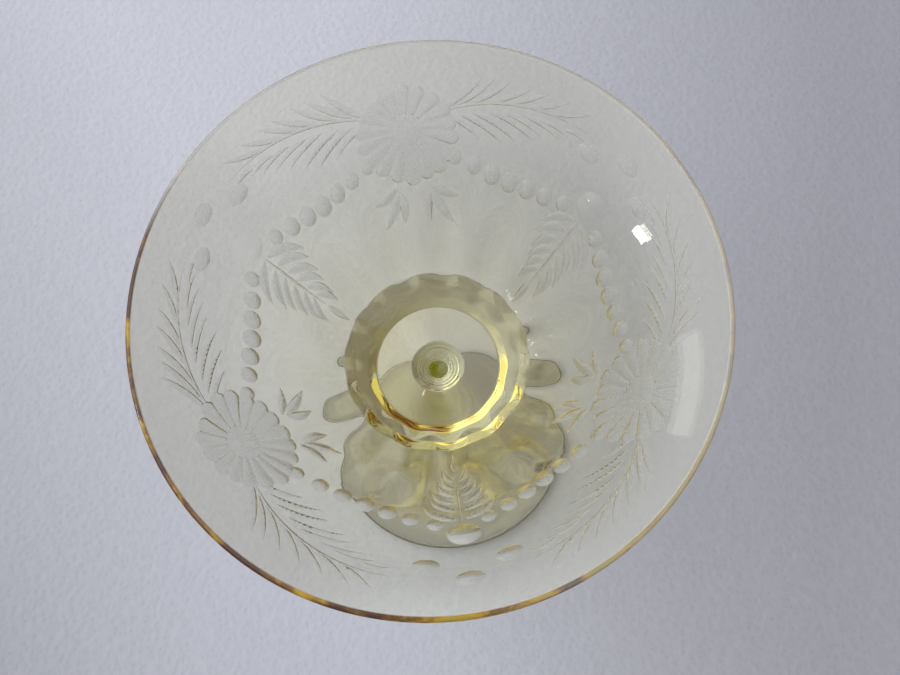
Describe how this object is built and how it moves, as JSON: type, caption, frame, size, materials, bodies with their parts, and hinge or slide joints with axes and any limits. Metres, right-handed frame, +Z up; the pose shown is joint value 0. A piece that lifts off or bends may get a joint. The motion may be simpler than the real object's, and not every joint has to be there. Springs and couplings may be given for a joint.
{
  "type": "sherbet glass",
  "caption": "Footed sherbet glass with a flared, faintly ribbed bowl on a thick round pad, a slender stem and a round foot, in pale yellow glass.",
  "frame": {"origin": "centre of the foot's resting ring, on the surface that the glass stands on", "axes": "+Z up along the glass's axis, towards the rim; +X to the right and +Y away from the viewer of the picture"},
  "size_m": [0.095, 0.095, 0.112],
  "materials": {
    "yellow_glass": "polished, with a wheel-cut frosted pattern on the outside of the bowl"
  },
  "bodies": {
    "root": {"bowl": "yellow_glass", "stem": "yellow_glass", "foot": "yellow_glass"}
  },
  "joints": []
}
